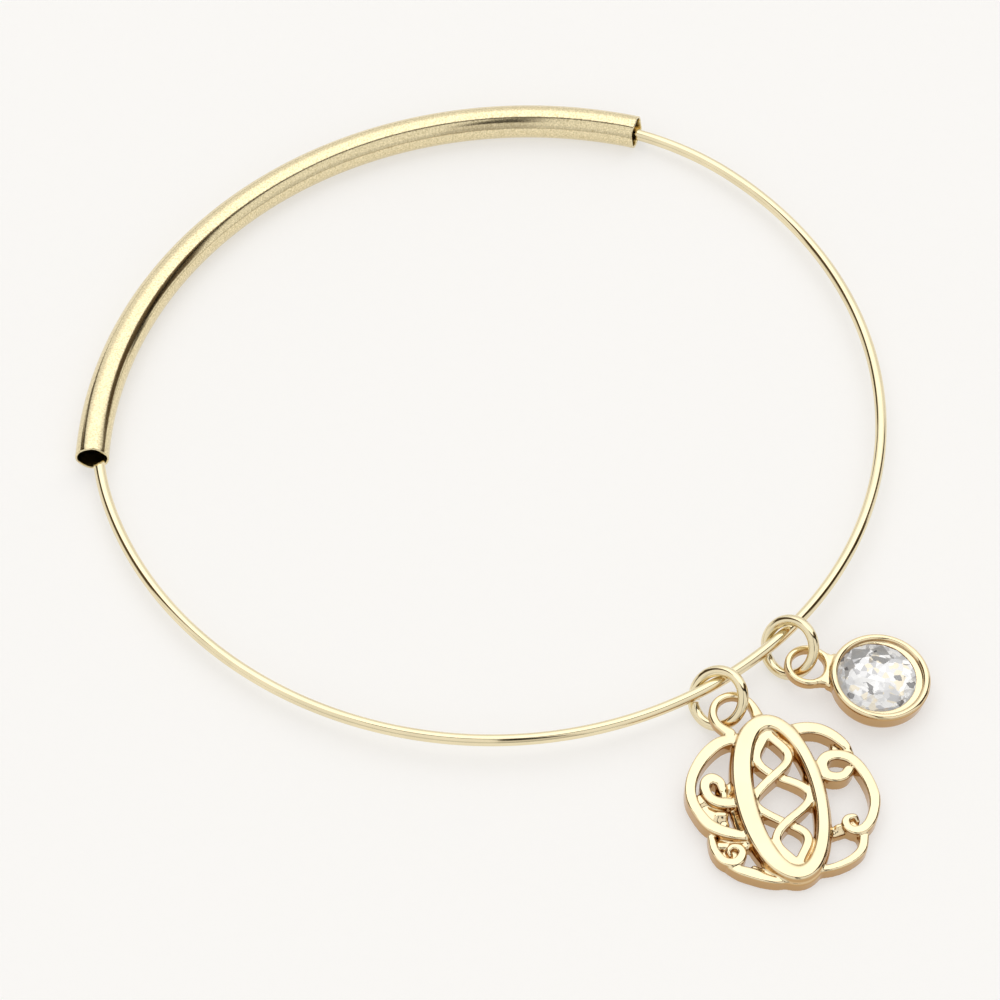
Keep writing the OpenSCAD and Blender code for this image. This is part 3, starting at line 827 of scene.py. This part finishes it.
class BANGLE_OT_stage(bpy.types.Operator):
    """Add the floor, the soft light and the camera"""

    bl_idname = "bangle.stage"
    bl_label = "Stage"

    def execute(self, context):
        self.add_floor(context.scene.bangle.floor)
        self.add_sky(context.scene)
        self.add_camera(context.scene)
        return {"FINISHED"}

    def add_floor(self, colour):
        mesh = bpy.data.meshes.new("Floor")
        s = FLOOR_HALF
        mesh.from_pydata([(-s, -s, 0), (s, -s, 0), (s, s, 0), (-s, s, 0)], [], [(0, 1, 2, 3)])
        floor = bpy.data.objects.new("Floor", mesh)
        bpy.context.scene.collection.objects.link(floor)
        material, n = new_material("Floor paper")
        grain = n.noise(n.object_coords(), PAPER_SCALE, 4.0, 0.6)
        n.principled({
            "Base Color": n.mix(grain, rgba(colour, 0.99), rgba(colour, 1.01)),
            "Roughness": 0.8,
            "Normal": n.bump(grain, 0.1, 0.1 * MM),
            "Emission Color": (1.0, 0.99, 0.975, 1.0),
            "Emission Strength": 0.5,
        })
        mesh.materials.append(material)

    def add_sky(self, scene):
        """A light tent: a bright roof that ends a little in front of the zenith, a dim
        horizon, a dimmer front, a dark brown card on either side, and thin dark edges where
        its panels meet. Each part is a product of smooth steps across its borders."""
        world = bpy.data.worlds.new("Soft studio")
        scene.world = world
        n = Nodes(world)
        way = n.out(n.add("ShaderNodeTexCoord"), "Generated")

        def toward(x, y, z):
            """How much of the direction seen goes along another, as a cosine."""
            length = math.sqrt(x * x + y * y + z * z)
            values = {0: way, 1: (x / length, y / length, z / length)}
            node = n.add("ShaderNodeVectorMath", {"operation": "DOT_PRODUCT"}, values)
            return n.out(node, "Value")

        aside, back, height = toward(1, 0, 0), toward(0, 1, 0), toward(0, 0, 1)
        ahead, beside = toward(0.259, -0.966, 0), toward(0.966, 0.259, 0)
        # The roof, up to an edge that bows forwards at the sides
        past_edge = back + 0.145 - 0.42 * aside * aside
        roof = height.between(0.4, 0.8) * past_edge.between(0.0, 0.04)
        horizon = height.between(0.1, 0.03)
        front = height.between(0.5, 0.3) * ahead.between(0.4, 0.7)
        # The side cards, each between three slanted borders and above a sloping sill
        reach = aside.size()
        card = (back - 0.03 + 0.24 * (reach - 0.47)).between(-0.02, 0.03)
        card = card * (2.7 * (reach - 0.456) - back).between(-0.03, 0.06)
        card = card * (1.45 * (reach - 0.37) - back).between(-0.02, 0.04)
        sill = 0.24 - 1.25 * (back - 0.35).at_least(0.0)
        card = card * (height - sill).between(-0.04, 0.03)
        # The seam along the roof's edge, the wedge between two panels that rises from the
        # front and is darkest at its upper end, and a post behind on the right
        seam = past_edge.size().between(0.09, 0.05) * aside.between(-0.3, -0.2)
        notch = (0.2 * (ahead - 0.08) - beside.size()).between(-0.01, 0.02)
        notch = notch * (0.22 + 0.73 * ahead.between(0.74, 0.67))
        post = toward(0.668, 0.662, 0.339).size().between(0.08, 0.03)
        post = post * toward(-0.707, 0.707, 0).between(0.7, 0.8)

        light = (WALL_LIGHT + ROOF_LIGHT * roof) * (1 - HORIZON_LOSS * horizon)
        light = light * (1 - CARD_LOSS * card) * (1 - SEAM_LOSS * seam) * (1 - notch)
        light = light * (1 - POST_LOSS * post) * (1 - FRONT_LOSS * front)
        brown = card.at_least(0.6 * seam.at_least(post).at_least(notch))
        values = {"Color": n.mix(brown, TENT_WHITE, CARD_BROWN), "Strength": light}
        n.finish("ShaderNodeBackground", "Background", values, "ShaderNodeOutputWorld")

    def add_camera(self, scene):
        data = bpy.data.cameras.new("Camera")
        data.sensor_fit = "HORIZONTAL"
        data.angle = 2 * math.atan(CAMERA_HALF_VIEW)
        data.clip_start = 0.01
        camera = bpy.data.objects.new("Camera", data)
        e, roll = math.radians(CAMERA_HEIGHT), math.radians(CAMERA_ROLL)
        back = Vector((0, -math.cos(e), math.sin(e)))
        right, up = Vector((1, 0, 0)), Vector((0, math.sin(e), math.cos(e)))
        across = math.cos(roll) * right + math.sin(roll) * up
        upward = -math.sin(roll) * right + math.cos(roll) * up
        turn = Matrix((across, upward, back)).transposed().to_4x4()
        place = (Vector(CAMERA_AIM) + back * CAMERA_DISTANCE) * MM
        camera.matrix_world = Matrix.Translation(place) @ turn
        scene.collection.objects.link(camera)
        scene.camera = camera
        scene.view_settings.view_transform = "Standard"


class BANGLE_OT_hoop(bpy.types.Operator):
    """Add the wire hoop, one closed loop of four arcs"""

    bl_idname = "bangle.hoop"
    bl_label = "Wire hoop"

    def execute(self, context):
        settings = context.scene.bangle
        # The bends touch the hoop's circle and the wire's circle in the tube, from inside
        tube_arc = TUBE_R + WIRE_LEAN
        gap = math.hypot(*TUBE_CENTRE)
        facing = math.degrees(math.atan2(-TUBE_CENTRE[1], -TUBE_CENTRE[0]))
        to_hoop, to_tube = HOOP_R - BEND_R, tube_arc - BEND_R
        along = (to_tube**2 - to_hoop**2 - gap**2) / (2 * gap)
        across = math.sqrt(to_hoop**2 - along**2)
        half_hoop = math.degrees(math.atan2(across, along))
        half_tube = math.degrees(math.atan2(across, along + gap))
        middle = np.concatenate([
            arc((0, 0), HOOP_R, half_hoop, 360 - half_hoop, 560),
            arc((along, -across), BEND_R, -half_hoop, -half_tube, 90),
            arc((-gap, 0), tube_arc, -half_tube, half_tube, 160),
            arc((along, across), BEND_R, half_tube, half_hoop, 90),
        ])
        rings = round_wire(middle, settings.wire_d / MM / 2, closed=True)
        rings = turned(rings, facing - HOOP_PROP_ANGLE, 0, 1)
        rings = turned(rings, HOOP_SLOPE, 0, 2)
        rings = turned(rings, HOOP_PROP_ANGLE, 0, 1) + [0, 0, HOOP_RISE]
        quads = grid_quads(len(rings), WIRE_SIDES, True, True)
        gold = polished_gold("Polished gold wire", settings.gold, roughness=0.03, waviness=0.06)
        make_piece("Hoop_Wire", rings.reshape(-1, 3), quads, "wire_hoop", gold)
        return {"FINISHED"}


class BANGLE_OT_tube(bpy.types.Operator):
    """Add the curved tube bead, open at both ends"""

    bl_idname = "bangle.tube"
    bl_label = "Tube bead"

    def execute(self, context):
        settings = context.scene.bangle
        outer, inner = settings.tube_d / MM / 2, TUBE_BORE / 2
        span = math.radians(TUBE_TO - TUBE_FROM) * TUBE_R
        rim = (outer - inner) / 2
        run = np.linspace(rim, span - rim, 240)
        lip = np.radians(np.linspace(80, -80, 9))
        # Along the outside, round one mouth, back along the bore and round the other
        past, height = rim * np.cos(lip), rim * np.sin(lip)
        along = np.concatenate([run, span - rim + past, run[::-1], rim - past])
        radius = np.concatenate([
            0 * run + outer, inner + rim + height, 0 * run + inner, inner + rim - height
        ])
        sides = 72
        u, v = np.meshgrid(along, 2 * np.pi * np.arange(sides) / sides, indexing="ij")
        radius = radius[:, None] + 0 * v
        # The mouths: the right one cut on a slant, both with a wavy rim and out of round
        right_end = np.exp(-((u / MOUTH_REACH) ** 2))
        near_end = right_end + np.exp(-(((span - u) / MOUTH_REACH) ** 2))
        slant = MOUTH_SLANT * right_end * (SLANT_UP * np.sin(v) + SLANT_OUT * np.cos(v))
        waves = 0.03 * near_end * (np.sin(3 * v + 0.6) + np.sin(5 * v + 2.0))
        radius = radius * (1 + near_end * (0.008 * np.sin(2 * v + 1.0) + 0.005 * np.sin(7 * v)))
        a = math.radians(TUBE_FROM) + (u + slant + waves) / TUBE_R
        out = TUBE_R + radius * np.cos(v)
        points = rows_of(
            TUBE_CENTRE[0] + out * np.cos(a), TUBE_CENTRE[1] + out * np.sin(a),
            outer + radius * np.sin(v),
        )
        quads = grid_quads(len(along), sides, True, True)
        brass = satin_brass("Satin brass tube", settings.brass)
        points = points.reshape(-1, 3)
        make_piece("Tube_Bead", points, quads, "curved_tube", brass)
        return {"FINISHED"}


class BANGLE_OT_rings(bpy.types.Operator):
    """Add the two split jump rings"""

    bl_idname = "bangle.rings"
    bl_label = "Jump rings"

    def execute(self, context):
        settings = context.scene.bangle
        radius = settings.ring_wire_d / MM / 2
        gold = polished_gold("Polished gold rings", settings.gold, roughness=0.03, waviness=0.08)
        self.add_ring("Medallion_Ring", "medallion_ring", MEDALLION_RING, radius, gold)
        self.add_ring("Crystal_Ring", "crystal_ring", CRYSTAL_RING, radius, gold)
        return {"FINISHED"}

    def add_ring(self, name, node, place, radius, gold):
        """An open ring with a narrow cut, its two ends sprung a little apart, which leans
        from the surface and has bevelled cut faces."""
        centre, lean, way, cut_at = place
        cut = math.degrees(RING_CUT / RING_R)
        count = 160
        k = np.arange(count)
        middle = arc((0, 0), RING_R, cut_at + cut / 2, cut_at + 360 - cut / 2, count)
        from_end = np.minimum(k, count - 1 - k) * 2 * math.pi * RING_R / count
        spring = RING_SPRING * np.exp(-((from_end / RING_BEND) ** 2))
        middle[:, 2] = np.where(k < count / 2, spring, -spring)
        rings = turned(round_wire(middle, radius, closed=False), -lean, 0, 2)
        points = (turned(rings, way, 0, 1) + centre).reshape(-1, 3)
        quads = grid_quads(count, WIRE_SIDES, False, True)
        first = np.arange(WIRE_SIDES)
        ends = [first, len(points) - 1 - first]
        piece = make_piece(name, points, quads, node, gold, ends)
        bevel = piece.modifiers.new("Cut edges", "BEVEL")
        bevel.width = 0.05 * MM
        bevel.segments = 2
        bevel.limit_method = "ANGLE"
        bevel.angle_limit = math.radians(50)


class BANGLE_OT_medallion(bpy.types.Operator):
    """Add the pierced scroll medallion with its eye, one casting"""

    bl_idname = "bangle.medallion"
    bl_label = "Medallion"

    def execute(self, context):
        points, quads = medallion_surface()
        points = laid_down(points, MEDALLION_PLACE)
        colour = context.scene.bangle.casting
        # The medallion gets the full painted shade on its side faces
        gold = polished_gold("Polished gold casting", colour, 0.05, waviness=0.14, wall_shade=1.0)
        make_piece("Scroll_Medallion", points, quads, "medallion", gold)
        return {"FINISHED"}


class BANGLE_OT_cup(bpy.types.Operator):
    """Add the stone's cup with its eye"""

    bl_idname = "bangle.cup"
    bl_label = "Stone cup"

    def execute(self, context):
        points, quads = cup_surface()
        points = laid_down(points, CUP_PLACE)
        colour = context.scene.bangle.casting
        # The cup gets the full painted shade on its side faces
        gold = polished_gold("Polished gold cup", colour, 0.05, waviness=0.06, wall_shade=1.0)
        make_piece("Stone_Cup", points, quads, "bezel_cup", gold)
        return {"FINISHED"}


class BANGLE_OT_stone(bpy.types.Operator):
    """Add the round brilliant stone"""

    bl_idname = "bangle.stone"
    bl_label = "Crystal"

    def execute(self, context):
        table_r, table_z = 1.85, 2.54
        star_r = 2.5
        girdle_r, girdle_low, girdle_high = 3.45, 1.56, 1.68
        keel_r, keel_z = 2.4, 1.38
        heel_r, heel_z = 1.2, 1.2
        culet_z = 1.08
        # The stars' outer corners lie on the slope of the kites
        slope = (table_z - girdle_high) / (girdle_r - table_r)
        star_z = table_z - (star_r * math.cos(math.pi / 8) - table_r) * slope
        # Unequal heights, so that the facets behind send their light to different sides
        step = np.array([0.05, -0.03, 0.02, -0.06, 0.04, -0.04, 0.06, -0.04])

        def ring(radius, z, count, shift=0):
            a = 2 * np.pi * (np.arange(count) + shift) / count
            return rows_of(radius * np.cos(a), radius * np.sin(a), z + 0 * a)

        points = np.concatenate([
            ring(table_r, table_z, 8),
            ring(star_r, star_z, 8, 0.5),
            ring(girdle_r, girdle_high, 16),
            ring(girdle_r, girdle_low, 16),
            ring(keel_r, keel_z + step, 8, 0.5),
            ring(heel_r, heel_z - step, 8),
            [[0, 0, culet_z]],
        ]) + [0, SEAT_SHIFT, 0]
        # The number of each ring's first point
        table, star, crown, girdle, keel, heel, culet = 0, 8, 16, 32, 48, 56, 64
        k = np.arange(8)
        k2, before = (k + 1) % 8, (k + 7) % 8
        even, odd, next_even = 2 * k, 2 * k + 1, (2 * k + 2) % 16
        n, n2 = np.arange(16), (np.arange(16) + 1) % 16
        kites = rows_of(table + k, star + before, crown + even, star + k)
        belt = rows_of(girdle + n, girdle + n2, crown + n2, crown + n)
        front = [
            rows_of(table + k, star + k, table + k2),
            rows_of(star + k, crown + even, crown + odd),
            rows_of(star + k, crown + odd, crown + next_even),
        ]
        behind = [
            rows_of(keel + k, girdle + odd, girdle + even),
            rows_of(keel + k, girdle + next_even, girdle + odd),
            rows_of(keel + before, keel + k, girdle + even),
            rows_of(heel + k, keel + k, keel + before),
            rows_of(heel + k, heel + k2, keel + k),
            rows_of(culet + 0 * k, heel + k2, heel + k),
        ]
        faces = [table + k, *np.concatenate(front), *np.concatenate(behind)]
        quads = np.concatenate([kites, belt])
        points = laid_down(points, CUP_PLACE)
        look = [stone_glass("Lead glass"), painted_glint_foil("Silver foil")]
        piece = make_piece(
            "Crystal_Stone", points, quads, "crystal", look, faces, smooth=False
        )
        # The facets behind the girdle, which come last, take the foil
        backed = np.zeros(len(piece.data.polygons), np.int32)
        backed[-sum(map(len, behind)) :] = 1
        piece.data.polygons.foreach_set("material_index", backed)
        return {"FINISHED"}


class BANGLE_PT_panel(bpy.types.Panel):
    """The bangle's tools"""

    bl_idname = "BANGLE_PT_panel"
    bl_label = "Charm bangle"
    bl_space_type = "VIEW_3D"
    bl_region_type = "UI"
    bl_category = "Bangle"

    def draw(self, context):
        for name in ("wire_d", "tube_d", "ring_wire_d", "gold", "casting", "brass", "floor"):
            self.layout.prop(context.scene.bangle, name)
        for tool in TOOLS:
            self.layout.operator(tool.bl_idname)


TOOLS = (
    BANGLE_OT_stage, BANGLE_OT_hoop, BANGLE_OT_tube, BANGLE_OT_rings,
    BANGLE_OT_medallion, BANGLE_OT_cup, BANGLE_OT_stone,
)
CLASSES = (BangleSettings, *TOOLS, BANGLE_PT_panel)


def register():
    for cls in CLASSES:
        bpy.utils.register_class(cls)
    bpy.types.Scene.bangle = PointerProperty(type=BangleSettings)


def unregister():
    del bpy.types.Scene.bangle
    for cls in reversed(CLASSES):
        bpy.utils.unregister_class(cls)


def main():
    register()
    bpy.ops.bangle.stage()
    bpy.ops.bangle.hoop()
    bpy.ops.bangle.tube()
    bpy.ops.bangle.rings()
    bpy.ops.bangle.medallion()
    bpy.ops.bangle.cup()
    bpy.ops.bangle.stone()


if __name__ == "__main__":
    main()
